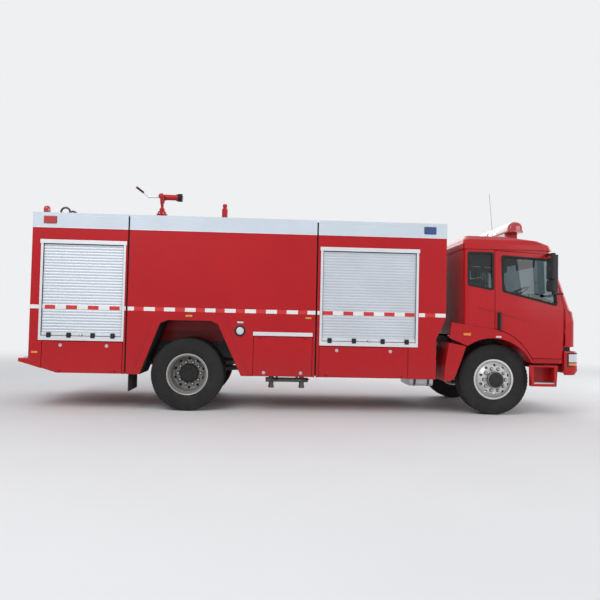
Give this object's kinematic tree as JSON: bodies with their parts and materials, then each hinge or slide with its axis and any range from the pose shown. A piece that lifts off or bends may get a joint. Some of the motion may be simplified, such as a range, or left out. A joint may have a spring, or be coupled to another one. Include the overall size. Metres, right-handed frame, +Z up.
{
  "type": "fire truck",
  "caption": "Water-tender fire truck with forward-control cab, side shutters, fold-out flaps, roof monitor, opening doors, steering and rolling wheels.",
  "frame": {"origin": "on the ground at the middle of the vehicle's length and width", "axes": "+X forward, +Y to the vehicle's left, +Z up; the pictured side is -Y"},
  "size_m": [8.3, 3, 3.5398],
  "materials": {
    "red_paint": "glossy deep red paint",
    "pale_paint": "satin pale blue-white paint",
    "black_rubber": "matt black rubber",
    "shutter_metal": "satin anodised slats",
    "frame_metal": "satin anodised section",
    "black_metal": "satin black paint",
    "window_glass": "tinted clear glass",
    "black_plastic": "grained black moulding",
    "lamp_plastic": "glossy lens plastic",
    "cabin_plastic": "grained dark grey moulding",
    "seat_fabric": "woven dark cloth",
    "tank_metal": "brushed tank sheet",
    "chassis_paint": "satin dark chassis paint",
    "spring_steel": "painted spring leaves",
    "cast_metal": "dark casting",
    "wheel_paint": "satin silver paint",
    "tyre_rubber": "dusty black tyre"
  },
  "bodies": {
    "chassis": {"body_front": "red_paint", "body_mid": "red_paint", "body_rear": "red_paint", "cab_floor": "cabin_plastic", "cab_glass": "window_glass", "cab_roof": "red_paint", "cab_shell": "red_paint", "cab_steps": "red_paint", "crossmembers": "chassis_paint", "dashboard": "cabin_plastic", "drive_line": "cast_metal", "engine_block": "cast_metal", "frame_rails": "chassis_paint", "front_axle_beam": "chassis_paint", "front_bumper": "red_paint", "front_fenders": "red_paint", "front_panel": "red_paint", "fuel_tank": "tank_metal", "leaf_springs": "spring_steel", "light_bar": "lamp_plastic", "lower_mudguards": "red_paint", "marker_lamps": "lamp_plastic", "rear_axle": "chassis_paint", "rear_ladder": "black_metal", "rear_mudguards": "black_rubber", "roof_decks": "pale_paint", "roof_fittings": "red_paint", "seam_seals": "black_rubber", "seats": "seat_fabric", "shutter_frames": "frame_metal", "shutters": "shutter_metal", "suction_pipe": "black_metal", "tail_step": "red_paint"},
    "door_r": {"door_r": "red_paint", "door_glass_r": "window_glass", "door_fittings_r": "black_plastic"},
    "knuckle_r": {"knuckle_r": "cast_metal"},
    "front_wheel_r": {"front_rim_r": "wheel_paint", "front_tyre_r": "tyre_rubber"},
    "rear_wheel_r": {"rear_rims_r": "wheel_paint", "rear_tyres_r": "tyre_rubber"},
    "flap_rear_r": {"flap_rear_r": "red_paint"},
    "flap_mid_r": {"flap_mid_r": "red_paint"},
    "flap_front_r": {"flap_front_r": "red_paint"},
    "door_l": {"door_l": "red_paint", "door_glass_l": "window_glass", "door_fittings_l": "black_plastic"},
    "knuckle_l": {"knuckle_l": "cast_metal"},
    "front_wheel_l": {"front_rim_l": "wheel_paint", "front_tyre_l": "tyre_rubber"},
    "rear_wheel_l": {"rear_rims_l": "wheel_paint", "rear_tyres_l": "tyre_rubber"},
    "flap_rear_l": {"flap_rear_l": "red_paint"},
    "flap_mid_l": {"flap_mid_l": "red_paint"},
    "flap_front_l": {"flap_front_l": "red_paint"},
    "monitor_swivel": {"monitor_swivel": "red_paint"},
    "monitor_barrel": {"monitor_barrel": "red_paint"}
  },
  "joints": [
    {"name": "steer_r", "type": "hinge", "parent": "chassis", "child": "knuckle_r", "pos_m": [2.86, -0.87, 0.534], "axis": [0, 0, 1], "range_deg": [-35, 35]},
    {"name": "front_wheel_spin_r", "type": "hinge", "parent": "knuckle_r", "child": "front_wheel_r", "pos_m": [2.86, -0.99, 0.534], "axis": [0, 1, 0], "continuous": true},
    {"name": "rear_wheel_spin_r", "type": "hinge", "parent": "chassis", "child": "rear_wheel_r", "pos_m": [-1.74, -0.89, 0.534], "axis": [0, 1, 0], "continuous": true},
    {"name": "door_hinge_r", "type": "hinge", "parent": "chassis", "child": "door_r", "pos_m": [3.883, -1.235, 1.6], "axis": [0, 0, 1], "range_deg": [0, 70]},
    {"name": "flap_rear_hinge_r", "type": "hinge", "parent": "chassis", "child": "flap_rear_r", "pos_m": [-3.2495, -1.225, 0.545], "axis": [1, 0, 0], "range_deg": [0, 90]},
    {"name": "flap_mid_hinge_r", "type": "hinge", "parent": "chassis", "child": "flap_mid_r", "pos_m": [-0.345, -1.236, 1.108], "axis": [-1, 0, 0], "range_deg": [0, 90]},
    {"name": "flap_front_hinge_r", "type": "hinge", "parent": "chassis", "child": "flap_front_r", "pos_m": [0.853, -1.225, 0.545], "axis": [1, 0, 0], "range_deg": [0, 90]},
    {"name": "steer_l", "type": "hinge", "parent": "chassis", "child": "knuckle_l", "pos_m": [2.86, 0.87, 0.534], "axis": [0, 0, 1], "range_deg": [-35, 35]},
    {"name": "front_wheel_spin_l", "type": "hinge", "parent": "knuckle_l", "child": "front_wheel_l", "pos_m": [2.86, 0.99, 0.534], "axis": [0, 1, 0], "continuous": true},
    {"name": "rear_wheel_spin_l", "type": "hinge", "parent": "chassis", "child": "rear_wheel_l", "pos_m": [-1.74, 0.89, 0.534], "axis": [0, 1, 0], "continuous": true},
    {"name": "door_hinge_l", "type": "hinge", "parent": "chassis", "child": "door_l", "pos_m": [3.883, 1.235, 1.6], "axis": [0, 0, -1], "range_deg": [0, 70]},
    {"name": "flap_rear_hinge_l", "type": "hinge", "parent": "chassis", "child": "flap_rear_l", "pos_m": [-3.2495, 1.225, 0.545], "axis": [-1, 0, 0], "range_deg": [0, 90]},
    {"name": "flap_mid_hinge_l", "type": "hinge", "parent": "chassis", "child": "flap_mid_l", "pos_m": [-0.345, 1.236, 1.108], "axis": [1, 0, 0], "range_deg": [0, 90]},
    {"name": "flap_front_hinge_l", "type": "hinge", "parent": "chassis", "child": "flap_front_l", "pos_m": [0.853, 1.225, 0.545], "axis": [-1, 0, 0], "range_deg": [0, 90]},
    {"name": "monitor_turn", "type": "hinge", "parent": "chassis", "child": "monitor_swivel", "pos_m": [-2.39, 0, 3.125], "axis": [0, 0, 1], "continuous": true},
    {"name": "monitor_elevation", "type": "hinge", "parent": "monitor_swivel", "child": "monitor_barrel", "pos_m": [-2.39, 0, 3.368], "axis": [0, -1, 0], "range_deg": [-20, 70]}
  ],
  "couplings": [
    {"joint": "steer_r", "follows": "steer_l", "ratio": 1}
  ]
}
